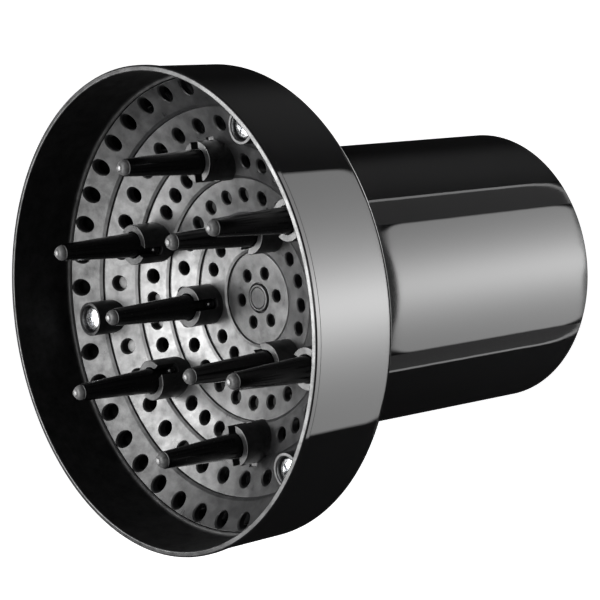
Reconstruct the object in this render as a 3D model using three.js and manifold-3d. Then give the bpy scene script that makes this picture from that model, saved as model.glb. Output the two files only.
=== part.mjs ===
// Hair dryer diffuser: a shallow bowl on a long collar that slips over the barrel of a hair dryer.
// Inside the bowl a dished, stepped and perforated plate carries nine push-in fingers. Three screws
// clamp the plate and the air deflector behind it to posts on the back of the bowl.
// Millimetres, +Z up. The common axis is Y: the collar's open end is at y = 0 and the bowl faces -Y.

import * as THREE from 'three';
import { mergeVertices } from 'three/addons/utils/BufferGeometryUtils.js';
import Module from 'manifold-3d';

const wasm = await Module();
wasm.setup();

// ---- driving dimensions -------------------------------------------------------------------
const LENGTH = 150; // collar end to front of rim
const RIM_RADIUS = 75;
const RIM_BAND = 2; // axial length of the plain band behind the lip
const RIM_GROOVE = 0.4; // step down from that band to the skirt
const WALL = 2.6; // bowl wall behind the plate
const SKIRT_WALL = 1.9; // bowl wall in front of the plate
const SKIRT_DEPTH = 31.4; // front of rim to the rear edge of the skirt
const SKIRT_TAPER = 0.3;
const REAR_EDGE_RADIUS = 2.4;
const BACK_SLOPE = 0.8; // rise of the conical back towards the neck
const NECK_LENGTH = 2.4;
const NECK_WALL = 2.8;

const COLLAR_RADIUS = 46;
const COLLAR_WALL = 2.2;
const COLLAR_EDGE = 0.6; // bevel each side of the flat end face
const FLANGE_RADIUS = 49.6; // the collar's front flange seats inside the bowl's neck
const FLANGE_THICKNESS = 2.2;

const GRIP_LENGTH = 16;
const GRIP_INSET = 7; // from the collar's end
const GRIP_WALL = 1.6;
const GRIP_RIB = 1.6; // height of the soft ribs
const GRIP_RIBS = 3;
const GRIP_SEAT = 0.5; // depth of the seat turned into the collar's bore

const PLATE_THICKNESS = 2.2;
const PLATE_EDGE = 71;
const LEDGE = { radius: 72.8, height: 2.6 }; // the hollow ledge that joins the plate's seat to the wall
const STEP_HEIGHT = 0.9;
const CENTRE_DEPTH = 43.7; // front of rim to the middle of the dish

// Each terrace of the dish: outer radius, slope, and its ring of holes. A ring has `places` places;
// `half` shifts them by half a place from the first screw's direction.
const TERRACES = [
  { outer: 14.9, slope: 0.0, ring: 8.6, places: 6, half: false, hole: 1.8 },
  { outer: 26.9, slope: 0.1, ring: 21.8, places: 18, half: true, hole: 1.95 },
  { outer: 38.6, slope: 0.2, ring: 33.2, places: 24, half: true, hole: 2.05 },
  { outer: 49.7, slope: 0.3, ring: 44.4, places: 36, half: true, hole: 2.15 },
  { outer: 61.4, slope: 0.42, ring: 56.1, places: 33, half: false, hole: 2.3 },
  { outer: PLATE_EDGE, slope: 0.6, ring: 68, places: 39, half: false, hole: 2.45 },
];
const HOLE_SIDES = 6;
const HOLE_MARGIN = 1; // least land between a hole and a socket or boss

const PATTERN_PHASE = 191.3; // direction of the first screw, degrees from +X towards +Z
// Each ring of fingers: its pattern, depth of its socket faces, and reach from there to the tips.
const INNER_FINGERS = { radius: 23.5, first: 0, step: 120, count: 3, face: 33.0, reach: 32.2 };
const OUTER_FINGERS = { radius: 44.7, first: 30, step: 60, count: 6, face: 25.8, reach: 30.5 };
const SOCKET_RADIUS = 6.6;
const SOCKET_BORE = 4.4;
const SOCKET_SINK = 0.2; // the bore stops this far short of the dish's surface
const SLOT_WIDTH = 3.5;
const SLOT_DEPTH = 7.4;
const PIN_ROOT = 4.1; // radius at the socket face
const PIN_TIP = 2.7;
const LUG_WIDTH = 2.8;
const LUG_HEIGHT = 2.9;
const LUG_REACH = 6.1; // from the finger's axis

const SCREW_CIRCLE = 60.1;
const SCREW_COUNT = 3;
const BOSS_RADIUS = 5.6;
const BOSS_BORE = 4.5;
const BOSS_FACE = 20.1; // depth of the boss's rim
const SCREW_HEAD = { radius: 4.1, height: 2.6, recess: 0.5 };
const SCREW_SHANK = 1.9;
const SCREW_LENGTH = 13.9; // under the head
const CROSS = { length: 4.8, width: 1.0, depth: 1.5 };
const POST_RADIUS = 5;

const CAP_RADIUS = 4.5;
const CAP_RECESS = 0.9;
const CAP_STEM = 1.5;

// The deflector: a flat disc, and arms that rise past a knee to a pad at each screw.
const DEFLECTOR_THICKNESS = 2;
const DISC_RADIUS = 16;
const DISC_DEPTH = 52;
const KNEE_RADIUS = 38;
const KNEE_DROP = 1.5; // from the plate's back at the knee
const ARM_WIDTH = 11;
const PAD_WIDTH = 26;
const PAD_INNER = 51.4;
const PAD_OUTER = 64.6;

const GAP = 0.3; // running clearance between separate pieces
const ROUND = { bowl: 48, collar: 40, plate: 40, ring: 32, socket: 12, small: 12 };

// ---- materials ----------------------------------------------------------------------------
function material(color, roughness, metalness = 0) {
  return new THREE.MeshStandardMaterial({ color, roughness, metalness });
}
const glossBlack = material(0x0b0b0c, 0.12);
const satinBlack = material(0x161617, 0.42);
const fingerBlack = material(0x0d0d0e, 0.3);
const rubberBlack = material(0x1a1a1b, 0.8);
const chrome = material(0xd8d9db, 0.12, 1);

// ---- helpers ------------------------------------------------------------------------------
const radians = (degrees) => (degrees * Math.PI) / 180;
const deep = (depth) => depth - LENGTH; // y at a depth behind the front of the rim

function solidOf(geometry) {
  const bare = geometry.clone();
  bare.deleteAttribute('normal');
  bare.deleteAttribute('uv');
  const merged = mergeVertices(bare, 1e-4);
  return new wasm.Manifold(new wasm.Mesh({
    numProp: 3,
    vertProperties: new Float32Array(merged.attributes.position.array),
    triVerts: new Uint32Array(merged.index.array),
  }));
}

function geometryOf(solid) {
  const mesh = solid.getMesh();
  const geometry = new THREE.BufferGeometry();
  geometry.setAttribute('position', new THREE.BufferAttribute(new Float32Array(mesh.vertProperties), 3));
  geometry.setIndex(new THREE.BufferAttribute(new Uint32Array(mesh.triVerts), 1));
  geometry.computeVertexNormals();
  return geometry;
}

// A body turned about Y from a closed outline of [radius, y] points, listed counter-clockwise.
function turned(outline, segments) {
  const points = outline.map(([radius, y]) => new THREE.Vector2(Math.max(radius, 0), y));
  if (outline[0][0] > 0) points.push(points[0].clone());
  return solidOf(new THREE.LatheGeometry(points, segments));
}

function place(solid, x, y, z, turn = 0) {
  const matrix = new THREE.Matrix4().makeRotationY(-turn).setPosition(x, y, z);
  return solid.transform(matrix.elements);
}

// Moves a solid built on the Y axis to a radius and direction of the hole pattern.
function atPattern(solid, radius, degrees) {
  const angle = radians(PATTERN_PHASE + degrees);
  return place(solid, radius * Math.cos(angle), 0, radius * Math.sin(angle), angle);
}

function rod(radius, front, back, sides) {
  return turned([[0, front], [0, back], [radius, back], [radius, front]].reverse(), sides);
}

function block(x0, x1, y0, y1, z0, z1) {
  const geometry = new THREE.BoxGeometry(x1 - x0, y1 - y0, z1 - z0);
  geometry.translate((x0 + x1) / 2, (y0 + y1) / 2, (z0 + z1) / 2);
  return solidOf(geometry);
}

// Points of a quarter round from one direction to another, in degrees, about a centre.
function arc(radius, y, size, from, to, steps = 3) {
  return Array.from({ length: steps + 1 }, (_, i) => {
    const angle = radians(from + ((to - from) * i) / steps);
    return [radius + size * Math.cos(angle), y + size * Math.sin(angle)];
  });
}

// ---- the dish -----------------------------------------------------------------------------
// Depth of every terrace at its inner and outer edge, worked out from the middle outwards.
function layOutTerraces() {
  let inner = 0;
  let depth = CENTRE_DEPTH;
  for (const terrace of TERRACES) {
    terrace.inner = inner;
    terrace.innerDepth = depth;
    terrace.outerDepth = depth - terrace.slope * (terrace.outer - inner);
    inner = terrace.outer;
    depth = terrace.outerDepth - STEP_HEIGHT;
  }
}
layOutTerraces();

function dishDepth(radius) {
  const terrace = TERRACES.find((t) => radius <= t.outer) ?? TERRACES.at(-1);
  return terrace.innerDepth - terrace.slope * (radius - terrace.inner);
}

// The back of the plate is smooth: it runs straight from the outer edge of one terrace to the next.
const PLATE_BACK = [
  [0, CENTRE_DEPTH + PLATE_THICKNESS],
  ...TERRACES.map((t) => [t.outer, t.outerDepth + PLATE_THICKNESS]),
];

function plateBackDepth(radius) {
  const i = Math.max(1, PLATE_BACK.findIndex(([r]) => r >= radius));
  const [[r0, d0], [r1, d1]] = [PLATE_BACK[i - 1], PLATE_BACK[i]];
  return d0 + ((d1 - d0) * (radius - r0)) / (r1 - r0);
}

// Where the plate's back turns down most steeply, under the screws.
const BACK_BEND = TERRACES.at(-2).outer;

function ringOf({ radius, first, step, count, face, reach }) {
  return Array.from({ length: count }, (_, i) => ({ radius, degrees: first + i * step, face, reach }));
}

const SOCKETS = [...ringOf(INNER_FINGERS), ...ringOf(OUTER_FINGERS)];
const SCREWS = ringOf({ radius: SCREW_CIRCLE, first: 0, step: 360 / SCREW_COUNT, count: SCREW_COUNT });

function distance(a, b) {
  const angle = radians(a.degrees - b.degrees);
  return Math.sqrt(a.radius ** 2 + b.radius ** 2 - 2 * a.radius * b.radius * Math.cos(angle));
}

// A hole is left out where a finger socket or a screw boss stands.
function isClear(hole) {
  const reach = hole.size + HOLE_MARGIN;
  const clearOf = (list, radius) => list.every((item) => distance(item, hole) > radius + reach);
  return clearOf(SOCKETS, SOCKET_RADIUS) && clearOf(SCREWS, BOSS_RADIUS);
}

function holePlaces() {
  return TERRACES.flatMap(({ ring, places, half, hole }) =>
    Array.from({ length: places }, (_, i) => ({
      radius: ring,
      degrees: ((i + (half ? 0.5 : 0)) * 360) / places,
      size: hole,
    })),
  ).filter(isClear);
}

function plateBlank() {
  const front = TERRACES.flatMap((t) => [[t.inner, deep(t.innerDepth)], [t.outer, deep(t.outerDepth)]]);
  const back = PLATE_BACK.map(([radius, depth]) => [radius, deep(depth)]).reverse();
  return turned([...front, ...back], ROUND.plate);
}

// The space in front of the plate's back, which trims the feet of the sockets and bosses.
function plateEnvelope() {
  const front = deep(BOSS_FACE - 1);
  const back = PLATE_BACK.map(([radius, depth]) => [radius, deep(depth)]).reverse();
  return turned([[0, front], [PLATE_EDGE, front], ...back], ROUND.plate);
}

function socket({ face }) {
  return rod(SOCKET_RADIUS, deep(face), deep(CENTRE_DEPTH + PLATE_THICKNESS), ROUND.socket);
}

function socketHollow({ radius, face }) {
  const floor = deep(dishDepth(radius) - SOCKET_SINK);
  const bore = rod(SOCKET_BORE, deep(face) - 1, floor, ROUND.socket);
  const reach = SOCKET_RADIUS + 1;
  const half = SLOT_WIDTH / 2;
  return bore.add(block(-reach, reach, deep(face) - 1, deep(face + SLOT_DEPTH), -half, half));
}

function boss() {
  return rod(BOSS_RADIUS, deep(BOSS_FACE), deep(CENTRE_DEPTH), ROUND.socket);
}

const headSeat = BOSS_FACE + SCREW_HEAD.recess + SCREW_HEAD.height;

function bossHollow() {
  const well = rod(BOSS_BORE, deep(BOSS_FACE) - 1, deep(headSeat + GAP), ROUND.socket);
  return well.add(rod(SCREW_SHANK + GAP, deep(headSeat), deep(CENTRE_DEPTH), ROUND.small));
}

function diffuserPlate() {
  let plate = plateBlank();
  const envelope = plateEnvelope();
  const join = (tube, item) => plate.add(atPattern(tube, item.radius, item.degrees).intersect(envelope));
  for (const item of SOCKETS) plate = join(socket(item), item);
  for (const item of SCREWS) plate = join(boss(), item);
  const drill = (tool, item) => plate.subtract(atPattern(tool, item.radius, item.degrees));
  for (const item of SOCKETS) plate = drill(socketHollow(item), item);
  for (const item of SCREWS) plate = drill(bossHollow(), item);
  for (const item of holePlaces()) {
    const depth = dishDepth(item.radius);
    plate = drill(rod(item.size, deep(depth - 4), deep(depth + 6), HOLE_SIDES), item);
  }
  const middle = deep(CENTRE_DEPTH);
  const capSeat = rod(CAP_RADIUS + GAP, middle - 2, middle + CAP_RECESS, ROUND.socket);
  return plate.subtract(capSeat).subtract(rod(CAP_STEM + GAP, middle, middle + 6, ROUND.small));
}

// ---- bowl and collar ----------------------------------------------------------------------
const skirtRadius = RIM_RADIUS - RIM_GROOVE;
const rearRadius = skirtRadius - SKIRT_TAPER;
const neckRadius = COLLAR_RADIUS + GAP + NECK_WALL;
const backStart = rearRadius - REAR_EDGE_RADIUS;
const backDepth = (radius) => SKIRT_DEPTH + BACK_SLOPE * (backStart - radius);
const neckEnd = backDepth(neckRadius) + NECK_LENGTH;
const slant = WALL * Math.hypot(1, BACK_SLOPE); // wall measured along the axis on the conical back
const insideBack = (radius) => backDepth(radius) - slant;
const flangeSeat = insideBack(FLANGE_RADIUS + GAP);

// The space from behind the deflector's pads to the middle of the bowl's wall, which trims the posts.
function postEnvelope() {
  const top = (radius) => deep(plateBackDepth(radius) + DEFLECTOR_THICKNESS + 2 * GAP);
  const near = SCREW_CIRCLE - POST_RADIUS - 1;
  const far = SCREW_CIRCLE + POST_RADIUS + 1;
  const foot = (radius) => deep(backDepth(radius) - slant / 2);
  const tops = [near, BACK_BEND, far].map((radius) => [radius, top(radius)]);
  return turned([...tops, [far, foot(far)], [near, foot(near)]], ROUND.plate);
}

function bowlShell() {
  const lip = SKIRT_WALL / 2;
  const innerCorner = PLATE_EDGE + GAP;
  const seatDepth = dishDepth(PLATE_EDGE);
  const outline = [
    ...arc(RIM_RADIUS - lip, deep(lip), lip, 180, 360, 4),
    [RIM_RADIUS, deep(RIM_BAND)],
    [skirtRadius, deep(RIM_BAND + RIM_GROOVE)],
    ...arc(rearRadius - REAR_EDGE_RADIUS, deep(SKIRT_DEPTH - REAR_EDGE_RADIUS), REAR_EDGE_RADIUS, 0, 90, 3),
    [neckRadius, deep(backDepth(neckRadius))],
    [neckRadius, deep(neckEnd)],
    [COLLAR_RADIUS + GAP, deep(neckEnd)],
    [COLLAR_RADIUS + GAP, deep(flangeSeat)],
    [FLANGE_RADIUS + GAP, deep(flangeSeat)],
    [innerCorner - 1, deep(insideBack(innerCorner - 1))],
    [innerCorner, deep(insideBack(innerCorner) - 2)],
    [innerCorner, deep(seatDepth)],
    [(innerCorner + LEDGE.radius) / 2, deep(seatDepth - LEDGE.height / 3)],
    [LEDGE.radius, deep(seatDepth - LEDGE.height)],
  ];
  let shell = turned(outline, ROUND.bowl);
  const post = rod(POST_RADIUS, deep(headSeat), deep(neckEnd), ROUND.socket);
  const pilotEnd = deep(headSeat + SCREW_LENGTH + GAP);
  const pilot = rod(SCREW_SHANK + GAP, deep(headSeat), pilotEnd, ROUND.small);
  const behindPads = postEnvelope();
  for (const { radius, degrees } of SCREWS) {
    shell = shell.add(atPattern(post, radius, degrees).intersect(behindPads));
    shell = shell.subtract(atPattern(pilot, radius, degrees));
  }
  return shell;
}

const boreRadius = COLLAR_RADIUS - COLLAR_WALL;
const gripBack = -GRIP_INSET;
const gripFront = gripBack - GRIP_LENGTH;

function collar() {
  const flangeBack = deep(flangeSeat - GAP);
  const seat = boreRadius + GRIP_SEAT;
  return turned([
    [boreRadius, flangeBack - FLANGE_THICKNESS],
    [FLANGE_RADIUS, flangeBack - FLANGE_THICKNESS],
    [FLANGE_RADIUS, flangeBack],
    [COLLAR_RADIUS, flangeBack],
    [COLLAR_RADIUS, -COLLAR_EDGE],
    [COLLAR_RADIUS - COLLAR_EDGE, 0],
    [boreRadius + COLLAR_EDGE, 0],
    [boreRadius, -COLLAR_EDGE],
    [boreRadius, gripBack + GAP],
    [seat, gripBack + GAP],
    [seat, gripFront - GAP],
    [boreRadius, gripFront - GAP],
  ], ROUND.collar);
}

function gripRing() {
  const outer = boreRadius + GRIP_SEAT - GAP;
  const inner = outer - GRIP_WALL;
  const pitch = GRIP_LENGTH / GRIP_RIBS;
  const crests = Array.from({ length: GRIP_RIBS }, (_, i) => gripBack - pitch * (i + 0.5));
  const ribs = crests.flatMap((y) => [
    [inner, y + pitch * 0.3],
    [inner - GRIP_RIB, y],
    [inner, y - pitch * 0.3],
  ]);
  const seatSide = [[outer, gripFront], [outer, gripBack]];
  return turned([...seatSide, [inner, gripBack], ...ribs, [inner, gripFront]], ROUND.ring);
}

// ---- air deflector ------------------------------------------------------------------------
function airDeflector() {
  const under = (radius) => plateBackDepth(radius) + GAP;
  const front = [
    [0, DISC_DEPTH],
    [DISC_RADIUS, DISC_DEPTH],
    [KNEE_RADIUS, under(KNEE_RADIUS) + KNEE_DROP],
    [PAD_INNER, under(PAD_INNER)],
    [BACK_BEND, under(BACK_BEND)],
    [PAD_OUTER, under(PAD_OUTER)],
  ];
  const back = [...front].reverse().map(([radius, depth]) => [radius, depth + DEFLECTOR_THICKNESS]);
  const shell = turned([...front, ...back].map(([radius, depth]) => [radius, deep(depth)]), ROUND.plate);
  const near = deep(under(PAD_OUTER) - 1);
  const far = deep(DISC_DEPTH + DEFLECTOR_THICKNESS + 1);
  const arm = block(0, PAD_OUTER + 1, near, far, -ARM_WIDTH / 2, ARM_WIDTH / 2);
  const pad = block(PAD_INNER, PAD_OUTER + 1, near, far, -PAD_WIDTH / 2, PAD_WIDTH / 2);
  let mask = rod(DISC_RADIUS, near, far, ROUND.ring);
  for (const { degrees } of SCREWS) mask = mask.add(atPattern(arm.add(pad), 0, degrees));
  let deflector = shell.intersect(mask);
  const hole = rod(SCREW_SHANK + GAP, near, far, ROUND.small);
  for (const { radius, degrees } of SCREWS) {
    deflector = deflector.subtract(atPattern(hole, radius, degrees));
  }
  return deflector;
}

// ---- small pieces -------------------------------------------------------------------------
// Both kinds of finger reach the floor of their own socket, so the root's length follows the dish.
function fingerPin({ radius, face, reach }) {
  const floor = dishDepth(radius) - SOCKET_SINK - GAP;
  const tip = face - reach;
  const nose = arc(0, deep(tip + PIN_TIP), PIN_TIP, 270, 360, 3);
  nose[0][0] = 0;
  const root = [[PIN_ROOT, deep(face)], [PIN_ROOT, deep(floor)], [0, deep(floor)]];
  const pin = turned([...nose, ...root], ROUND.small);
  const lugBack = deep(face + SLOT_DEPTH - GAP);
  const lugFront = lugBack - LUG_HEIGHT;
  return pin.add(block(-LUG_REACH, LUG_REACH, lugFront, lugBack, -LUG_WIDTH / 2, LUG_WIDTH / 2));
}

function screw() {
  const top = BOSS_FACE + SCREW_HEAD.recess;
  const { radius, height } = SCREW_HEAD;
  const end = headSeat + SCREW_LENGTH;
  const body = turned([
    [0, deep(top)],
    [radius * 0.55, deep(top + 0.15)],
    [radius * 0.9, deep(top + 0.8)],
    [radius, deep(top + height * 0.6)],
    [radius, deep(headSeat)],
    [SCREW_SHANK, deep(headSeat)],
    [SCREW_SHANK, deep(end - 1.5)],
    [0.6, deep(end)],
    [0, deep(end)],
  ], ROUND.small);
  const arm = CROSS.length / 2;
  const half = CROSS.width / 2;
  const across = block(-arm, arm, deep(top) - 1, deep(top + CROSS.depth), -half, half);
  const along = block(-half, half, deep(top) - 1, deep(top + CROSS.depth), -arm, arm);
  return body.subtract(across.add(along));
}

function centreCap() {
  const seat = CENTRE_DEPTH + CAP_RECESS - GAP;
  return turned([
    [0, deep(seat - 1.3)],
    [CAP_RADIUS * 0.6, deep(seat - 1.2)],
    [CAP_RADIUS - 0.4, deep(seat - 0.9)],
    [CAP_RADIUS, deep(seat - 0.5)],
    [CAP_RADIUS, deep(seat)],
    [CAP_STEM, deep(seat)],
    [CAP_STEM, deep(seat + 3)],
    [0, deep(seat + 3)],
  ], ROUND.socket);
}

// ---- assembly -----------------------------------------------------------------------------
const group = new THREE.Group();

function addPiece(name, solid, look) {
  const mesh = new THREE.Mesh(geometryOf(solid), look);
  mesh.name = name;
  group.add(mesh);
}

// Fingers and screws are placed by their own nested frames, as the object carries them.
function addAtPattern(name, solid, look, { radius, degrees }) {
  const mesh = new THREE.Mesh(geometryOf(solid), look);
  mesh.name = name;
  mesh.position.set(radius, 0, 0);
  const frame = new THREE.Group();
  frame.rotation.y = -radians(PATTERN_PHASE + degrees);
  frame.add(mesh);
  group.add(frame);
}

addPiece('bowl_shell', bowlShell(), glossBlack);
addPiece('collar', collar(), glossBlack);
addPiece('diffuser_plate', diffuserPlate(), satinBlack);
addPiece('air_deflector', airDeflector(), satinBlack);
addPiece('grip_ring', gripRing(), rubberBlack);
addPiece('centre_cap', centreCap(), satinBlack);
SOCKETS.forEach((item, i) => addAtPattern(`finger_pin_${i + 1}`, fingerPin(item), fingerBlack, item));
SCREWS.forEach((item, i) => addAtPattern(`screw_${i + 1}`, screw(), chrome, item));

export default group;
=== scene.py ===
"""Looks of a hair dryer diffuser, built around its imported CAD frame.

Every piece of the CAD model is rebuilt here as a finer mesh: round where the CAD is faceted, with
rounded edges, countersunk holes and moulded detail. Shapes are worked out in millimetres in the
frame of the object: the common axis is Y, the collar's open end is at y = 0, the bowl faces -Y.
"""

import math

import bpy
import numpy as np
from mathutils import Matrix, Vector


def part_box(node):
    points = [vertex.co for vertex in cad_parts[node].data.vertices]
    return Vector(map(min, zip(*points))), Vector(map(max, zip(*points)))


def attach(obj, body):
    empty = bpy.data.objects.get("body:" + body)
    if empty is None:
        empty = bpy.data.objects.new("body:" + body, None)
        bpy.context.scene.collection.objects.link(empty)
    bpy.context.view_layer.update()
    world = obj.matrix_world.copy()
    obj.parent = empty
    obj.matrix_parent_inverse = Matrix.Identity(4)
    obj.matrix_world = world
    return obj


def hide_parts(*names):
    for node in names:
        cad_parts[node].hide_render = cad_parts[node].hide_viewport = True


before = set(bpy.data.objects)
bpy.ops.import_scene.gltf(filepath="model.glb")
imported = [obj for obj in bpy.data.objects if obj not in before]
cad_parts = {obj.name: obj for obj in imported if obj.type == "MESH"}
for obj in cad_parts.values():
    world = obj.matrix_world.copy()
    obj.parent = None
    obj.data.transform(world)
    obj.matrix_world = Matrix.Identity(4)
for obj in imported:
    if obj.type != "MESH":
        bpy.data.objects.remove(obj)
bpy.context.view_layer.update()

MM = 0.001
SEGMENTS = 192  # round a large turned part
FINE = 48  # round a finger, socket or screw
HOLE_SEGMENTS = 28
ROUNDING_STEP = math.radians(15)  # largest turn between two points of a rounded corner
ROUNDING_SHARE = 0.999  # of an edge, so that the roundings at its two ends never meet

# ---- sizes that come from the frame, in millimetres ----------------------------------------


def box_mm(node):
    low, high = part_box(node)
    return low / MM, high / MM


bowl_low, bowl_high = box_mm("bowl_shell")
collar_low, collar_high = box_mm("collar")
FRONT = bowl_low.y  # front of the rim
RIM_RADIUS = bowl_high.x
NECK_END = bowl_high.y
FLANGE_RADIUS = collar_high.x
FLANGE_FRONT = collar_low.y


def centre_of(node):
    """(x, z) of the middle of a node's box: the axis of a finger or a screw."""
    low, high = box_mm(node)
    return (low.x + high.x) / 2, (low.z + high.z) / 2


FINGERS = [f"finger_pin_{i}" for i in range(1, 10)]
SCREWS = [f"screw_{i}" for i in range(1, 4)]
finger_axes = [centre_of(name) for name in FINGERS]
screw_axes = [centre_of(name) for name in SCREWS]
PATTERN_PHASE = math.atan2(screw_axes[0][1], screw_axes[0][0])  # the rings of holes start here

# ---- the part's own sizes, in millimetres --------------------------------------------------
# Most repeat the CAD's. The rest belong to the finer detail.

WALL = 2.6
SKIRT_WALL = 1.9
RIM_BAND = 2.0
RIM_GROOVE = 0.4
LIP_FALL = 0.15  # the front of the rim leans outwards by this much
SKIRT_DEPTH = 31.4
SKIRT_TAPER = 0.3
REAR_EDGE_RADIUS = 2.4
BACK_SLOPE = 0.8
NECK_WALL = 2.8

COLLAR_RADIUS = 46.0
COLLAR_WALL = 2.2
COLLAR_EDGE = 0.6
FLANGE_THICKNESS = 2.2
GRIP_LENGTH = 16.0
GRIP_INSET = 7.0
GRIP_WALL = 1.6
GRIP_RIB = 1.6
GRIP_RIBS = 3
GRIP_RIB_FOOT = 0.3  # half the foot of a rib, as a share of the ribs' pitch
GRIP_SEAT = 0.5

PLATE_THICKNESS = 2.2
PLATE_EDGE = 71.0
LEDGE_RADIUS = 72.8
LEDGE_HEIGHT = 2.6
STEP_HEIGHT = 0.9
ENVELOPE_LAYER = 0.4  # share of the plate's thickness behind the feet of sockets and bosses
CHAMFER_WIDTH = 0.9  # of the inner edge of each terrace
CHAMFER_FALL = 0.2
CENTRE_DEPTH = 43.7
PLATE_THROUGH = CENTRE_DEPTH + 6  # depth at which the drills through the plate end
HOLE_MARGIN = 1.0  # between a hole and a socket or boss
HOLE_ROUND = 0.42  # rounding of a hole's front edge
# Each terrace of the dish: outer radius, slope, radius of its ring of holes, places in the ring,
# whether the ring is turned by half a place, and hole radius.
TERRACES = [
    (14.9, 0.0, 8.6, 6, False, 1.8),
    (26.9, 0.1, 21.8, 18, True, 1.95),
    (38.6, 0.2, 33.2, 24, True, 2.05),
    (49.7, 0.3, 44.4, 36, True, 2.15),
    (61.4, 0.42, 56.1, 33, False, 2.3),
    (PLATE_EDGE, 0.6, 68.0, 39, False, 2.45),
]

SOCKET_RADIUS = 6.6
SOCKET_BORE = 4.4
SOCKET_SINK = 0.2  # the bore stops this far short of the dish's surface
SOCKET_FACES = [33.0] * 3 + [25.8] * 6  # depth of each finger's socket face
PIN_REACHES = [32.2] * 3 + [30.5] * 6  # from the socket face to the finger's tip
SLOT_WIDTH = 3.5
SLOT_DEPTH = 7.4
PIN_ROOT = 4.1
PIN_TIP = 2.7
TIP_DOME = 2.45  # radius of the dome, which leaves a fine shoulder round the tip
TIP_POINTS = 8  # steps along the dome, from its middle to its edge
TIP_BUTTON = 2  # the dome's points up to this one stand proud of the rest, by TIP_STEP
TIP_STEP = 0.2
TIP_LENGTH = 2.75  # from the tip to the shoulder
LUG_WIDTH = 2.8
LUG_HEIGHT = 2.9
LUG_REACH = 6.1

BOSS_RADIUS = 5.6
BOSS_BORE = 4.5
BOSS_FACE = 20.1
BOSS_CHAMFER = 0.3  # depth of the cone at the bore's mouth
BOSS_FLARE = 1.08  # how far the cone has widened 1 mm in front of the boss
HEAD_RADIUS = 4.1
HEAD_HEIGHT = 2.6
HEAD_RECESS = 0.5
HEAD_SEAT = BOSS_FACE + HEAD_RECESS + HEAD_HEIGHT
SCREW_SHANK = 1.9
SCREW_LENGTH = 13.9
CROSS_LENGTH = 4.8
CROSS_WIDTH = 1.0
CROSS_DEPTH = 1.5
CROSS_MOUTH = 1.0  # how far in front of the head's top the cross's cutter starts
CROSS_TAPER = (1.25, 0.62)  # size of the cross where its cutter starts and at its bottom
POST_RADIUS = 5.0

CAP_RADIUS = 4.5
CAP_RECESS = 0.9
CAP_FLARE = 1.9  # how far the seat's cone has widened 2 mm in front of the plate
CAP_STEM = 1.5

DISC_RADIUS = 16.0
DISC_DEPTH = 52.0
DEFLECTOR_THICKNESS = 2.0
KNEE_RADIUS = 38.0
KNEE_DROP = 1.5
ARM_WIDTH = 11.0
PAD_WIDTH = 26.0
PAD_INNER = 51.4
PAD_OUTER = 64.6

GAP = 0.3  # between two pieces


def deep(depth):
    """y at a depth behind the front of the rim."""
    return FRONT + depth


# ---- shapes --------------------------------------------------------------------------------
# A shape is a mesh before Blender sees it: points, faces and one normal for each face corner.


class Shape:
    def __init__(self, points, faces, normals):
        self.points = np.asarray(points, float)
        self.faces = faces
        self.normals = np.asarray(normals, float)

    def moved(self, matrix):
        """The shape under a 4x4 matrix, which may shear it. Its normals follow."""
        m = np.array(matrix)
        points = self.points @ m[:3, :3].T + m[:3, 3]
        normals = self.normals @ np.linalg.inv(m[:3, :3])
        normals /= np.linalg.norm(normals, axis=1, keepdims=True)
        return Shape(points, self.faces, normals)


def joined(shapes):
    """Several shapes that don't touch, as one."""
    faces, start = [], 0
    for shape in shapes:
        faces += [tuple(i + start for i in face) for face in shape.faces]
        start += len(shape.points)
    points = np.concatenate([shape.points for shape in shapes])
    return Shape(points, faces, np.concatenate([shape.normals for shape in shapes]))


def rounded(corners, closed):
    """Points and normals of an outline of (radius, y, rounding) corners.

    Each point comes with its outward normal, or None at a sharp corner. The outline runs with its
    outside on its right. Two roundings that meet on a short edge share its length."""
    out = []
    count = len(corners)
    for i, (radius, y, size) in enumerate(corners):
        here = np.array([radius, y], float)
        if size <= 0 or (not closed and i in (0, count - 1)):
            out.append((here, None))
            continue
        before, after = corners[i - 1], corners[(i + 1) % count]
        arrive, leave = here - before[:2], after[:2] - here
        lengths = np.linalg.norm(arrive), np.linalg.norm(leave)
        arrive, leave = arrive / lengths[0], leave / lengths[1]
        cross = arrive[0] * leave[1] - arrive[1] * leave[0]
        turn = math.atan2(cross, arrive @ leave)
        if abs(turn) < 1e-4:
            out.append((here, None))
            continue
        shares = [ROUNDING_SHARE * length * size / (size + other[2])
                  for length, other in zip(lengths, (before, after))]
        tangent = min(size * math.tan(abs(turn) / 2), *shares)
        size = tangent / math.tan(abs(turn) / 2)
        side = math.copysign(1, turn)
        inward = side * np.array([-arrive[1], arrive[0]])
        centre = here - tangent * arrive + size * inward
        steps = max(2, math.ceil(abs(turn) / ROUNDING_STEP))
        for k in range(steps + 1):
            angle = turn * k / steps
            c, s = math.cos(angle), math.sin(angle)
            spoke = np.array([-inward[0] * c + inward[1] * s, -inward[0] * s - inward[1] * c])
            out.append((centre + size * spoke, side * spoke))
    return out


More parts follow.
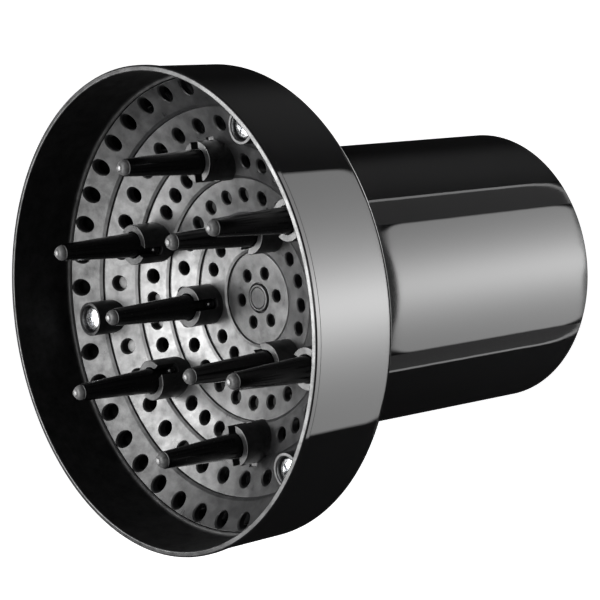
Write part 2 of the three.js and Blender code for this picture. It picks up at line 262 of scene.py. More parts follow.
def turned(corners, segments=SEGMENTS):
    """A solid turned about Y from an outline of (radius, y) or (radius, y, rounding) corners.

    The outline starts and ends on the axis, or closes on itself. Its normals are exact, so wide
    faces stay flat in a reflection right up to a rounded edge."""
    corners = [(*c, 0.0) if len(c) == 2 else c for c in corners]
    closed = corners[0][0] > 1e-6
    area = sum(
        a[0] * b[1] - b[0] * a[1] for a, b in zip(corners, corners[1:] + corners[:1])
    )
    if area < 0:
        corners = corners[::-1]
    outline = rounded([np.array(corner) for corner in corners], closed)
    count = len(outline)
    turn = np.arange(segments) * 2 * math.pi / segments
    cos, sin = np.cos(turn), np.sin(turn)
    points, rows = [], []
    for spot, _ in outline:
        if spot[0] < 1e-6:
            rows.append([len(points)] * segments)
            points.append((0.0, spot[1], 0.0))
            continue
        rows.append(list(range(len(points), len(points) + segments)))
        points += [(spot[0] * c, spot[1], spot[0] * s) for c, s in zip(cos, sin)]
    faces, normals = [], []
    spans = count if closed else count - 1
    for i in range(spans):
        j = (i + 1) % count
        edge = outline[j][0] - outline[i][0]
        if np.linalg.norm(edge) < 1e-7:
            continue
        flat = np.array([edge[1], -edge[0]]) / np.linalg.norm(edge)
        start = flat if outline[i][1] is None else outline[i][1]
        end = flat if outline[j][1] is None else outline[j][1]
        for k in range(segments):
            n = (k + 1) % segments
            ring = [(rows[i][k], start, k), (rows[j][k], end, k)]
            ring += [(rows[j][n], end, n), (rows[i][n], start, n)]
            if rows[j][k] == rows[j][n]:
                ring.pop(2)
            if rows[i][k] == rows[i][n]:
                ring.pop()
            faces.append(tuple(v for v, _, _ in ring))
            normals += [(d[0] * cos[q], d[1], d[0] * sin[q]) for _, d, q in ring]
    return Shape(points, faces, normals)


def extruded(outline, low, high):
    """A prism along Y over a closed (x, z) outline."""
    outline = np.asarray(outline, float)
    following = np.roll(outline, -1, axis=0)
    if np.sum(outline[:, 0] * following[:, 1] - following[:, 0] * outline[:, 1]) < 0:
        outline = outline[::-1]
    points = [(x, y, z) for y in (low, high) for x, z in outline]
    count = len(outline)
    faces = [tuple(range(count)), tuple(range(2 * count - 1, count - 1, -1))]
    for k in range(count):
        n = (k + 1) % count
        faces.append((n, k, count + k, count + n))
    return faceted(points, faces)


def faceted(points, faces):
    """A shape with flat faces."""
    points = np.asarray(points, float)
    normals = []
    for face in faces:
        a, b, c = (points[face[i]] for i in (0, 1, 2))
        normal = np.cross(b - a, c - b)
        normals += [normal / np.linalg.norm(normal)] * len(face)
    return Shape(points, faces, normals)


def rectangle(x0, x1, z0, z1):
    return [(x0, z0), (x1, z0), (x1, z1), (x0, z1)]


def at(x, z):
    """Carries a shape built on the Y axis to an axis of its own, with its x pointing outwards."""
    turn = math.atan2(z, x)
    return Matrix.Translation((x, 0, z)) @ Matrix.Rotation(-turn, 4, "Y")


def tilted(slope, y):
    """Leans a shape's level planes to the dish's slope and lifts it to a height."""
    matrix = Matrix.Translation((0, y, 0))
    matrix[1][0] = -slope
    return matrix


# ---- from shapes to Blender objects --------------------------------------------------------

NORMALS = "shape_normal"


def mesh_object(name, shape):
    mesh = bpy.data.meshes.new(name)
    mesh.from_pydata((shape.points * MM).tolist(), [], shape.faces)
    layer = mesh.attributes.new(NORMALS, "FLOAT_VECTOR", "CORNER")
    layer.data.foreach_set("vector", shape.normals.astype(np.float32).ravel())
    obj = bpy.data.objects.new(name, mesh)
    bpy.context.scene.collection.objects.link(obj)
    return obj


def combine(obj, tool, operation):
    """Joins a tool to an object, cuts it away, or keeps what they share. The tool is used up."""
    if isinstance(tool, Shape):
        tool = mesh_object("tool", tool)
    modifier = obj.modifiers.new("combine", "BOOLEAN")
    modifier.object = tool
    modifier.operation = operation
    modifier.solver = "MANIFOLD"
    graph = bpy.context.evaluated_depsgraph_get()
    result = bpy.data.meshes.new_from_object(obj.evaluated_get(graph))
    obj.modifiers.clear()
    used = [obj.data, tool.data]
    obj.data = result
    bpy.data.objects.remove(tool)
    for mesh in used:
        bpy.data.meshes.remove(mesh)


def join(obj, tool):
    combine(obj, tool, "UNION")


def cut(obj, tool):
    combine(obj, tool, "DIFFERENCE")


def keep(obj, tool):
    combine(obj, tool, "INTERSECT")


def finished(obj):
    """Shades an object by the normals of its shapes, turned outwards where a cut reversed them."""
    mesh = obj.data
    mesh.validate()
    mesh.polygons.foreach_set("use_smooth", [True] * len(mesh.polygons))
    corners = np.zeros(len(mesh.loops) * 3, np.float32)
    mesh.attributes[NORMALS].data.foreach_get("vector", corners)
    corners = corners.reshape(-1, 3)
    flat = np.zeros(len(mesh.polygons) * 3, np.float32)
    mesh.polygons.foreach_get("normal", flat)
    sizes = np.zeros(len(mesh.polygons), np.int32)
    mesh.polygons.foreach_get("loop_total", sizes)
    flat = np.repeat(flat.reshape(-1, 3), sizes, axis=0)
    agreement = np.sum(corners * flat, axis=1, keepdims=True)
    corners = np.where(agreement < 0, -corners, corners)
    lengths = np.linalg.norm(corners, axis=1, keepdims=True)
    corners = np.where(lengths > 0.1, corners / np.maximum(lengths, 0.1), flat)
    mesh.attributes.remove(mesh.attributes[NORMALS])
    mesh.normals_split_custom_set(corners.tolist())


# ---- the dish ------------------------------------------------------------------------------


def lay_out_terraces():
    """Inner and outer radius, slope, and depth at the inner and outer edge of each terrace."""
    rows, inner, depth = [], 0.0, CENTRE_DEPTH
    for outer, slope, *_ in TERRACES:
        outer_depth = depth - slope * (outer - inner)
        rows.append((inner, outer, slope, depth, outer_depth))
        inner, depth = outer, outer_depth - STEP_HEIGHT
    return rows


LANDS = lay_out_terraces()


def land_at(radius):
    return next((land for land in LANDS if radius <= land[1]), LANDS[-1])


def dish_depth(radius):
    inner, _, slope, inner_depth, _ = land_at(radius)
    return inner_depth - slope * (radius - inner)


BACK_BEND = LANDS[-2][1]  # where the plate's back bends under the screws
PLATE_BACK = [(0.0, CENTRE_DEPTH + PLATE_THICKNESS)]
PLATE_BACK += [(outer, outer_depth + PLATE_THICKNESS) for _, outer, _, _, outer_depth in LANDS]


def plate_back(radius):
    radii, depths = zip(*PLATE_BACK)
    return float(np.interp(radius, radii, depths))


def hole_places():
    """(x, z, radius from the axis, hole radius) of each hole clear of the sockets and bosses."""
    blocked = [(x, z, SOCKET_RADIUS) for x, z in finger_axes]
    blocked += [(x, z, BOSS_RADIUS) for x, z in screw_axes]
    places = []
    for _, _, ring, count, half, size in TERRACES:
        for i in range(count):
            angle = PATTERN_PHASE + (i + (0.5 if half else 0)) * 2 * math.pi / count
            x, z = ring * math.cos(angle), ring * math.sin(angle)
            if all(math.hypot(x - a, z - b) > r + size + HOLE_MARGIN for a, b, r in blocked):
                places.append((x, z, ring, size))
    return places


def plate_outline():
    corners = []
    for inner, outer, _, inner_depth, outer_depth in LANDS:
        chamfer = inner + CHAMFER_WIDTH
        corners.append((inner, deep(inner_depth + CHAMFER_FALL), 0.1))
        corners.append((chamfer, deep(dish_depth(chamfer)), 0.15))
        corners.append((outer, deep(outer_depth), 0.12))
    corners[:2] = [(0.0, deep(CENTRE_DEPTH), 0.0)]
    back = [(radius, deep(depth), 0.3) for radius, depth in reversed(PLATE_BACK)]
    back[-1] = (*back[-1][:2], 0.0)
    return corners + back


def plate_envelope():
    """Everything in front of a layer inside the plate, which trims sockets and bosses."""
    front = deep(BOSS_FACE - 1)
    back = [(r, deep(d - PLATE_THICKNESS * ENVELOPE_LAYER)) for r, d in reversed(PLATE_BACK)]
    return turned([(0, front), (PLATE_EDGE, front), *back])


def socket_shape(face):
    return turned(
        [
            (0, deep(face)),
            (SOCKET_RADIUS, deep(face), 0.2),
            (SOCKET_RADIUS, deep(CENTRE_DEPTH + PLATE_THICKNESS)),
            (0, deep(CENTRE_DEPTH + PLATE_THICKNESS)),
        ],
        FINE,
    )


def socket_bore(face, radius):
    """The bore with a chamfered mouth."""
    floor = deep(dish_depth(radius) - SOCKET_SINK)
    mouth = 0.12
    return turned(
        [
            (0, deep(face) - 1),
            (SOCKET_BORE + mouth + 1, deep(face) - 1),
            (SOCKET_BORE, deep(face + mouth), 0.15),
            (SOCKET_BORE, floor, 0.3),
            (0, floor),
        ],
        FINE,
    )


def round_ended(width, depth, steps=8):
    """(z, y) outline of a slot that opens forwards and has rounded inner corners."""
    corner = 0.7
    half = width / 2
    right = [(half - corner + corner * math.cos(a), depth - corner + corner * math.sin(a))
             for a in np.linspace(0, math.pi / 2, steps)]
    left = [(-z, y) for z, y in reversed(right)]
    return [(half, -1.0), *right, *left, (-half, -1.0)]


def socket_slot(face):
    """The slot right across a socket: a prism along the local x axis."""
    outline = round_ended(SLOT_WIDTH, SLOT_DEPTH)
    prism = extruded(outline, -SOCKET_RADIUS - 1, SOCKET_RADIUS + 1)
    lay = Matrix(((0, 1, 0, 0), (0, 0, 1, deep(face)), (1, 0, 0, 0), (0, 0, 0, 1)))
    return prism.moved(lay)


def hole_drill(size):
    """A drill along Y from the dish's surface, whose flared mouth rounds the hole's front edge."""
    above, below = 0.5, 8.0
    return turned(
        [
            (0, -above),
            (size + HOLE_ROUND + above, -above),
            (size, HOLE_ROUND, HOLE_ROUND),
            (size, below),
            (0, below),
        ],
        HOLE_SEGMENTS,
    )


def diffuser_plate():
    plate = mesh_object("plate", turned(plate_outline()))
    sockets = [socket_shape(face).moved(at(*axis)) for face, axis in zip(SOCKET_FACES, finger_axes)]
    boss = turned(
        [
            (0, deep(BOSS_FACE)),
            (BOSS_RADIUS, deep(BOSS_FACE), 0.15),
            (BOSS_RADIUS, deep(CENTRE_DEPTH)),
            (0, deep(CENTRE_DEPTH)),
        ],
        FINE,
    )
    bosses = [boss.moved(at(*axis)) for axis in screw_axes]
    studs = mesh_object("studs", joined(sockets + bosses))
    keep(studs, plate_envelope())
    join(plate, studs)
    for face, axis in zip(SOCKET_FACES, finger_axes):
        cut(plate, socket_bore(face, math.hypot(*axis)).moved(at(*axis)))
        cut(plate, socket_slot(face).moved(at(*axis)))
    well = turned(
        [
            (0, deep(BOSS_FACE) - 1),
            (BOSS_BORE + BOSS_FLARE, deep(BOSS_FACE) - 1),
            (BOSS_BORE, deep(BOSS_FACE + BOSS_CHAMFER), 0.15),
            (BOSS_BORE, deep(HEAD_SEAT + GAP), 0.3),
            (SCREW_SHANK + GAP, deep(HEAD_SEAT + GAP)),
            (SCREW_SHANK + GAP, deep(PLATE_THROUGH)),
            (0, deep(PLATE_THROUGH)),
        ],
        FINE,
    )
    cut(plate, joined([well.moved(at(*axis)) for axis in screw_axes]))
    drills = []
    for x, z, ring, size in hole_places():
        lean = tilted(land_at(ring)[2], deep(dish_depth(ring)))
        drills.append(hole_drill(size).moved(at(x, z) @ lean))
    cut(plate, joined(drills))
    cap_bore = CAP_RADIUS + GAP
    seat = turned(
        [
            (0, deep(CENTRE_DEPTH - 2)),
            (cap_bore + CAP_FLARE, deep(CENTRE_DEPTH - 2)),
            (cap_bore, deep(CENTRE_DEPTH + 0.2), 0.3),
            (cap_bore, deep(CENTRE_DEPTH + CAP_RECESS), 0.2),
            (CAP_STEM + GAP, deep(CENTRE_DEPTH + CAP_RECESS)),
            (CAP_STEM + GAP, deep(PLATE_THROUGH)),
            (0, deep(PLATE_THROUGH)),
        ],
        FINE,
    )
    cut(plate, seat)
    return plate


# ---- bowl and collar -----------------------------------------------------------------------

SKIRT_RADIUS = RIM_RADIUS - RIM_GROOVE
REAR_RADIUS = SKIRT_RADIUS - SKIRT_TAPER
NECK_RADIUS = COLLAR_RADIUS + GAP + NECK_WALL
BACK_START = REAR_RADIUS - REAR_EDGE_RADIUS
SLANT = WALL * math.hypot(1, BACK_SLOPE)


def back_depth(radius):
    return SKIRT_DEPTH + BACK_SLOPE * (BACK_START - radius)


def inside_back(radius):
    return back_depth(radius) - SLANT


FLANGE_SEAT = FLANGE_FRONT + FLANGE_THICKNESS + GAP  # y of the bowl's seat behind the flange


def bowl_shell():
    inner_corner = PLATE_EDGE + GAP
    seat = dish_depth(PLATE_EDGE)
    shell = mesh_object(
        "shell",
        turned(
            [
                (RIM_RADIUS - SKIRT_WALL, deep(0), 0.45),
                (RIM_RADIUS, deep(LIP_FALL), 0.6),
                (RIM_RADIUS, deep(RIM_BAND), 0.15),
                (SKIRT_RADIUS, deep(RIM_BAND + RIM_GROOVE), 0.3),
                (REAR_RADIUS, deep(SKIRT_DEPTH), REAR_EDGE_RADIUS),
                (BACK_START, deep(SKIRT_DEPTH)),
                (NECK_RADIUS, deep(back_depth(NECK_RADIUS)), 0.8),
                (NECK_RADIUS, NECK_END, 0.5),
                (COLLAR_RADIUS + GAP, NECK_END, 0.3),
                (COLLAR_RADIUS + GAP, FLANGE_SEAT),
                (FLANGE_RADIUS + GAP, FLANGE_SEAT),
                (inner_corner - 1, deep(inside_back(inner_corner - 1)), 0.5),
                (inner_corner, deep(inside_back(inner_corner) - 2), 0.5),
                (inner_corner, deep(seat), 0.1),
                (inner_corner + 0.3, deep(seat), 0.1),
                (LEDGE_RADIUS, deep(seat - 0.1), 2.2),
                (LEDGE_RADIUS, deep(seat - LEDGE_HEIGHT)),
            ]
        ),
    )
    top = deep(HEAD_SEAT)
    post = turned([(0, top), (POST_RADIUS, top), (POST_RADIUS, NECK_END), (0, NECK_END)], FINE)
    circle = math.hypot(*screw_axes[0])
    near, far = circle - POST_RADIUS - 1, circle + POST_RADIUS + 1
    behind = DEFLECTOR_THICKNESS + 2 * GAP
    envelope = turned(
        [
            (near, deep(plate_back(near) + behind)),
            (BACK_BEND, deep(plate_back(BACK_BEND) + behind)),
            (far, deep(plate_back(far) + behind)),
            (far, deep(back_depth(far) - SLANT / 2)),
            (near, deep(back_depth(near) - SLANT / 2)),
        ]
    )
    posts = mesh_object("posts", joined([post.moved(at(*axis)) for axis in screw_axes]))
    keep(posts, envelope)
    join(shell, posts)
    pilot_end = deep(HEAD_SEAT + SCREW_LENGTH + GAP)
    bore = SCREW_SHANK + GAP
    pilot = turned([(0, top), (bore, top), (bore, pilot_end), (0, pilot_end)], FINE)
    cut(shell, joined([pilot.moved(at(*axis)) for axis in screw_axes]))
    return shell


BORE_RADIUS = COLLAR_RADIUS - COLLAR_WALL
GRIP_BACK = -GRIP_INSET
GRIP_FRONT = GRIP_BACK - GRIP_LENGTH


def collar():
    flange_back = FLANGE_FRONT + FLANGE_THICKNESS
    seat = BORE_RADIUS + GRIP_SEAT
    return mesh_object(
        "tube",
        turned(
            [
                (BORE_RADIUS, FLANGE_FRONT, 0.4),
                (FLANGE_RADIUS, FLANGE_FRONT, 0.4),
                (FLANGE_RADIUS, flange_back, 0.3),
                (COLLAR_RADIUS, flange_back, 0.2),
                (COLLAR_RADIUS, 0, COLLAR_EDGE),
                (BORE_RADIUS, 0, COLLAR_EDGE),
                (BORE_RADIUS, GRIP_BACK + GAP, 0.15),
                (seat, GRIP_BACK + GAP, 0.15),
                (seat, GRIP_FRONT - GAP, 0.15),
                (BORE_RADIUS, GRIP_FRONT - GAP, 0.15),
            ]
        ),
    )


def grip_ring():
    outer = BORE_RADIUS + GRIP_SEAT - GAP
    inner = outer - GRIP_WALL
    pitch = GRIP_LENGTH / GRIP_RIBS
    corners = [(outer, GRIP_FRONT, 0.3), (outer, GRIP_BACK, 0.3), (inner, GRIP_BACK, 0.5)]
    for i in range(GRIP_RIBS):
        y = GRIP_BACK - pitch * (i + 0.5)
        corners += [
            (inner, y + pitch * GRIP_RIB_FOOT, 0.5),
            (inner - GRIP_RIB, y, 0.6),
            (inner, y - pitch * GRIP_RIB_FOOT, 0.5),
        ]
    corners.append((inner, GRIP_FRONT, 0.5))
    return mesh_object("ring", turned(corners))


# ---- air deflector -------------------------------------------------------------------------


def air_deflector():
    def under(radius):
        return plate_back(radius) + GAP

    line = [
        (0.0, DISC_DEPTH, 0.0),
        (DISC_RADIUS, DISC_DEPTH, 3.0),
        (KNEE_RADIUS, under(KNEE_RADIUS) + KNEE_DROP, 4.0),
        (PAD_INNER, under(PAD_INNER), 1.0),
        (BACK_BEND, under(BACK_BEND), 0.0),
        (PAD_OUTER, under(PAD_OUTER), 0.3),
    ]
    front = [(radius, deep(depth), size) for radius, depth, size in line]
    back = [(radius, y + DEFLECTOR_THICKNESS, size) for radius, y, size in reversed(front)]
    deflector = mesh_object("disc", turned(front + back))
    near, far = deep(under(PAD_OUTER) - 1), deep(DISC_DEPTH + DEFLECTOR_THICKNESS + 1)
    middle = turned([(0, near), (DISC_RADIUS, near), (DISC_RADIUS, far), (0, far)])
    mask = mesh_object("mask", middle)
    arm = extruded(rectangle(0, PAD_OUTER + 1, -ARM_WIDTH / 2, ARM_WIDTH / 2), near, far)
    pad = extruded(rectangle(PAD_INNER, PAD_OUTER + 1, -PAD_WIDTH / 2, PAD_WIDTH / 2), near, far)
    for x, z in screw_axes:
        swing = Matrix.Rotation(-math.atan2(z, x), 4, "Y")
        join(mask, arm.moved(swing))
        join(mask, pad.moved(swing))
    keep(deflector, mask)
    bore = SCREW_SHANK + GAP
    hole = turned([(0, near), (bore, near), (bore, far), (0, far)], FINE)
    cut(deflector, joined([hole.moved(at(*axis)) for axis in screw_axes]))
    return deflector


# ---- small pieces --------------------------------------------------------------------------


def finger_pin(face, reach, radius):
    """A tapered finger on the Y axis: round tip, straight root, and a lug out of each side."""
    floor = deep(dish_depth(radius) - SOCKET_SINK - GAP)
    tip = face - reach
    nose = []
    for k in range(TIP_POINTS + 1):
        angle = math.pi / 2 * k / TIP_POINTS
        fall = TIP_DOME * (1 - math.cos(angle)) + (TIP_STEP if k > TIP_BUTTON else 0)
        nose.append((TIP_DOME * math.sin(angle), deep(tip + fall), 0.1))
    nose[0] = (0.0, deep(tip), 0.0)
    body = [
        *nose,
        (PIN_TIP, deep(tip + TIP_LENGTH), 0.25),
        (PIN_ROOT, deep(face), 2.0),
        (PIN_ROOT, floor, 0.3),
        (0, floor),
    ]
    pin = mesh_object("pin", turned(body, FINE))
    middle = deep(face + SLOT_DEPTH - GAP - LUG_HEIGHT / 2)
    across = Matrix.Translation((0, middle, 0)) @ Matrix.Rotation(math.pi / 2, 4, "Z")
    join(pin, cross_bar().moved(across))
    return pin


def cross_bar():
    """A round bar on the Y axis with domed ends: the two lugs of a finger."""
    radius = LUG_WIDTH / 2
    dome = radius * 0.95
    return turned(
        [
            (0, -LUG_REACH),
            (radius, -LUG_REACH, dome),
            (radius, LUG_REACH, dome),
            (0, LUG_REACH),
        ],
        HOLE_SEGMENTS,
    )


def screw():
    """A pan-head screw with a cross recess, on the Y axis."""
    top = BOSS_FACE + HEAD_RECESS
    end = HEAD_SEAT + SCREW_LENGTH
    body = mesh_object(
        "screw_body",
        turned(
            [
                (0, deep(top)),
                (HEAD_RADIUS * 0.55, deep(top + 0.15), 2.0),
                (HEAD_RADIUS * 0.88, deep(top + 0.7), 1.0),
                (HEAD_RADIUS, deep(top + HEAD_HEIGHT * 0.6), 0.5),
                (HEAD_RADIUS, deep(HEAD_SEAT), 0.1),
                (SCREW_SHANK, deep(HEAD_SEAT), 0.2),
                (SCREW_SHANK, deep(end - 1.5)),
                (0.6, deep(end)),
                (0, deep(end)),
            ],
            FINE,
        ),
    )
    cut(body, cross_recess().moved(Matrix.Translation((0, deep(top), 0))))
    return body


def cross_recess():
    """A cross that narrows with depth, opening towards -Y."""
    arm, half = CROSS_LENGTH / 2, CROSS_WIDTH / 2
    plan = [
        (arm, -half), (arm, half), (half, half), (half, arm), (-half, arm), (-half, half),
        (-arm, half), (-arm, -half), (-half, -half), (-half, -arm), (half, -arm), (half, -half),
    ]
    levels = zip((-CROSS_MOUTH, CROSS_DEPTH), CROSS_TAPER)
    points = [(x * size, y, z * size) for y, size in levels for x, z in plan]
    count = len(plan)
    faces = [tuple(range(count)), tuple(range(2 * count - 1, count - 1, -1))]
    faces += [((k + 1) % count, k, count + k, count + (k + 1) % count) for k in range(count)]
    return faceted(points, faces)


def centre_cap():
    """The button, with a fine groove round its face."""
    seat = CENTRE_DEPTH + CAP_RECESS - GAP
    return mesh_object(
        "button",
        turned(
            [
                (0, deep(seat - 1.0)),
                (CAP_RADIUS - 1.3, deep(seat - 1.0), 0.15),
                (CAP_RADIUS - 1.1, deep(seat - 0.6), 0.1),
                (CAP_RADIUS - 0.9, deep(seat - 1.1), 0.15),
                (CAP_RADIUS - 0.3, deep(seat - 1.1), 0.3),
                (CAP_RADIUS, deep(seat - 0.5), 0.3),
                (CAP_RADIUS, deep(seat)),
                (CAP_STEM, deep(seat)),
                (CAP_STEM, deep(seat + 3), 0.3),
                (0, deep(seat + 3)),
            ],
            FINE,
        ),
    )


# ---- materials -----------------------------------------------------------------------------


class Nodes:
    """A material's node tree, with short calls for the nodes that the materials here share."""

    def __init__(self, name):
        self.material = bpy.data.materials.new(name)
        self.material.use_nodes = True
        self.tree = self.material.node_tree
        self.shader = self.tree.nodes["Principled BSDF"]
        self.place = self.add("ShaderNodeTexCoord").outputs["Object"]

    def add(self, kind, **settings):
        node = self.tree.nodes.new(kind)
        for key, value in settings.items():
            setattr(node, key, value)
        return node

    def link(self, source, target):
        self.tree.links.new(source, target)

    def noise(self, size, detail=2.0, roughness=0.5):
        """Noise whose features are about `size` millimetres across, from 0 to 1."""
        node = self.add("ShaderNodeTexNoise")
        node.inputs["Scale"].default_value = 1 / (size * MM)
        node.inputs["Detail"].default_value = detail
        node.inputs["Roughness"].default_value = roughness
        self.link(self.place, node.inputs["Vector"])
        return node.outputs["Fac"]

    def ranged(self, source, low, high, start=0.3, end=0.7):
        node = self.add("ShaderNodeMapRange")
        limits = {"From Min": start, "From Max": end, "To Min": low, "To Max": high}
        for socket, value in limits.items():
            node.inputs[socket].default_value = value
        self.link(source, node.inputs["Value"])
        return node.outputs["Result"]

    def tint(self, source, dark, light):
        node = self.add("ShaderNodeMix", data_type="RGBA")
        node.inputs["A"].default_value = (*dark, 1)
        node.inputs["B"].default_value = (*light, 1)
        self.link(source, node.inputs["Factor"])
        self.link(node.outputs["Result"], self.shader.inputs["Base Color"])

    def bump(self, source, height, previous=None):
        """A bump of `height` millimetres on top of a previous one."""
        node = self.add("ShaderNodeBump")
        node.inputs["Strength"].default_value = 1.0
        node.inputs["Distance"].default_value = height * MM
        self.link(source, node.inputs["Height"])
        if previous is not None:
            self.link(previous, node.inputs["Normal"])
        return node.outputs["Normal"]


def gloss_plastic(name, dark, light, roughness, wave, ior=1.5):
    """Gloss moulding: long soft waves and a trace of grain, and faint scuffs in its roughness.

    The height of the waves is in millimetres."""
    n = Nodes(name)
    n.tint(n.noise(9, 4), dark, light)
    scuffs = n.ranged(n.noise(0.6, 6, 0.7), roughness[0], roughness[1], 0.35, 0.75)
    n.link(scuffs, n.shader.inputs["Roughness"])
    waves = n.bump(n.noise(14, 1), wave)
    n.link(n.bump(n.noise(0.35, 2), 0.0006, waves), n.shader.inputs["Normal"])
    n.shader.inputs["IOR"].default_value = ior
    return n.material


def satin_plastic(name, dark, light, roughness, grain, ior=1.5, marks=6.0):
    """Satin moulding: fine grain, and cloudy marks in its colour, roughness, sheen and surface.

    The height of the grain and the size of the marks are in millimetres."""
    n = Nodes(name)
    cloud = n.noise(marks, 6, 0.65)
    n.tint(cloud, dark, light)
    n.link(n.ranged(cloud, roughness[0], roughness[1]), n.shader.inputs["Roughness"])
    sheen = n.ranged(n.noise(0.8 * marks, 6, 0.7), 0.25, 0.75)
    n.link(sheen, n.shader.inputs["Specular IOR Level"])
    flow = n.bump(n.noise(marks, 4, 0.6), 0.05)
    n.link(n.bump(n.noise(0.5, 3, 0.7), grain, flow), n.shader.inputs["Normal"])
    n.shader.inputs["IOR"].default_value = ior
    return n.material


def rubber(name):
    n = Nodes(name)
    n.tint(n.noise(3, 4), (0.022, 0.022, 0.023), (0.034, 0.034, 0.035))
    n.link(n.ranged(n.noise(1.2, 4), 0.62, 0.8), n.shader.inputs["Roughness"])
    n.link(n.bump(n.noise(0.2, 2), 0.01), n.shader.inputs["Normal"])
    return n.material


def chrome(name):
    """Bright plate over steel, with faint handling marks."""
    n = Nodes(name)
    n.tint(n.noise(1.5, 4), (0.72, 0.73, 0.75), (0.86, 0.87, 0.88))
    n.link(n.ranged(n.noise(0.5, 5, 0.7), 0.16, 0.32), n.shader.inputs["Roughness"])
    n.link(n.bump(n.noise(0.25, 3), 0.002), n.shader.inputs["Normal"])
    n.shader.inputs["Metallic"].default_value = 1.0
    return n.material


# ---- the object ----------------------------------------------------------------------------


def show(obj, node, body, material, axis=None):
    """Finishes a piece, moves it to its axis, names it and puts it in its CAD node's place."""
    finished(obj)
    if axis is not None:
        place = at(*axis)
        place.translation *= MM
        obj.data.transform(place)
    obj.name = f"{node}_fine"
    obj.data.name = obj.name
    obj.data.materials.clear()
    obj.data.materials.append(material)
    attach(obj, body)
    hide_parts(node)


def refinish(obj, material, chosen):
    """Gives a further material to the faces that `chosen` picks by centre, in mm, and normal."""
    mesh = obj.data
    mesh.materials.append(material)
    for face in mesh.polygons:
        if chosen(face.center / MM, face.normal):
            face.material_index = len(mesh.materials) - 1


def on_lip(centre, normal):
    return normal.y < -0.9 and centre.y < deep(2 * LIP_FALL)


def on_inner_wall(centre, normal):
    """The unpolished side of the bowl: what faces the axis or the front, inside the skirt."""
    inwards = normal.x * centre.x + normal.z * centre.z < 0 or normal.y < 0
    radius = math.hypot(centre.x, centre.z)
    return inwards and radius < SKIRT_RADIUS - SKIRT_WALL / 2 and centre.y < deep(SKIRT_DEPTH)


gloss = gloss_plastic(
    "gloss_black", (0.006, 0.006, 0.0063), (0.009, 0.009, 0.0093), (0.015, 0.05), wave=0.02
)
satin = satin_plastic(
    "satin_black", (0.004, 0.004, 0.0043), (0.009, 0.009, 0.0093), (0.26, 0.42), grain=0.02
)
matte = satin_plastic(
    "matte_black", (0.001, 0.001, 0.0012), (0.003, 0.003, 0.0032), (0.45, 0.6), grain=0.012, ior=1.35
)
smooth = gloss_plastic(
    "finger_black", (0.001, 0.001, 0.0012), (0.002, 0.002, 0.0022), (0.2, 0.3), wave=0.008, ior=1.38
)
# Finger tips: a lighter, mottled grey base colour that is a painted highlight, standing in for the
# broad sheen on each tip.
painted_tip_highlight = satin_plastic(
    "tip_painted_highlight", (0.012, 0.012, 0.0122), (0.10, 0.10, 0.1005), (0.28, 0.46), grain=0.03, marks=1.6
)
bright = chrome("screw_chrome")

shell = bowl_shell()
show(shell, "bowl_shell", "root", gloss)
refinish(shell, matte, on_inner_wall)
refinish(shell, satin, on_lip)
show(collar(), "collar", "root", gloss)
show(diffuser_plate(), "diffuser_plate", "root", satin)
show(air_deflector(), "air_deflector", "root", satin)
show(grip_ring(), "grip_ring", "root", rubber("rubber_black"))
show(centre_cap(), "centre_cap", "root", satin)
pins = zip(FINGERS, SOCKET_FACES, PIN_REACHES, finger_axes)
for i, (node, face, reach, axis) in enumerate(pins, 1):
    pin = finger_pin(face, reach, math.hypot(*axis))
    show(pin, node, f"finger_{i}", smooth, axis)
    neck = deep(face - reach + TIP_DOME)
    # the tips take the painted highlight: a lighter grey base colour
    refinish(pin, painted_tip_highlight, lambda centre, normal: centre.y < neck)
for node, axis in zip(SCREWS, screw_axes):
    show(screw(), node, "root", bright, axis)

# ---- studio --------------------------------------------------------------------------------

FLOOR = -0.45  # the object is held up at its collar, so the floor lies well below it
STUDIO_RADIUS = 4.0
STUDIO_HEIGHT = 5.0
STUDIO_BEND = 1.5
SOFTBOX_CORNER = 0.12  # smallest corner of a soft box, as a share of its half width
SOFTBOX_REACH = 1.15  # where a soft box's glow has fallen to its rim value, in half widths
PANEL_GRID = (240, 96)  # points round the axis and along it
PANEL_SQUEEZE = 0.15  # metres to a radian, so that the corners look round on a round wall
PANEL_FADE = 0.004  # metres from the panel's outline to its full glow
PANEL_BASE = 1.5  # glow of the panel far from its peak
FRAME_EDGE = 0.006  # metres that the frame's bright edge is wide
FRAME_GLOW = 2.2
CLOTH_GLOW = 0.3


def studio_sweep():
    """A white room whose floor curves up into its walls. Only the camera sees it."""
    radius, height, bend = STUDIO_RADIUS / MM, STUDIO_HEIGHT / MM, STUDIO_BEND / MM
    room = turned([(0, 0), (radius, 0, bend), (radius, height, bend), (0, height)], FINE)
    sweep = mesh_object("studio_sweep", room)
    sweep.data.transform(Matrix.Translation((0, 0, FLOOR)) @ Matrix.Rotation(math.pi / 2, 4, "X"))
    white = bpy.data.materials.new("sweep_white")
    white.use_nodes = True
    shader = white.node_tree.nodes["Principled BSDF"]
    shader.inputs["Base Color"].default_value = (0.9, 0.9, 0.9, 1)
    shader.inputs["Emission Color"].default_value = (1, 1, 1, 1)
    shader.inputs["Emission Strength"].default_value = 1.0
    sweep.data.materials.append(white)
    sweep.visible_glossy = False
    sweep.visible_diffuse = False
    sweep.visible_shadow = False


def softbox(name, place, target, width, height, power, rim, fade):
    """A soft box at a place, turned to a target. All in metres and watts.

    Its front glows brightest in the middle and falls off to `rim` of that towards its sides. Its
    corners are round, and the last `fade` of its half width and half height softens to nothing."""
    light = bpy.data.lights.new(name, "AREA")
    light.shape = "RECTANGLE"
    light.size = width
    light.size_y = height
    light.energy = power
    softbox_front(light, rim, fade)
    lamp = bpy.data.objects.new(name, light)
    lamp.location = place
    aim = Vector(target) - Vector(place)
    lamp.rotation_euler = aim.to_track_quat("-Z", "Y").to_euler()
    lamp.visible_camera = False
    bpy.context.scene.collection.objects.link(lamp)


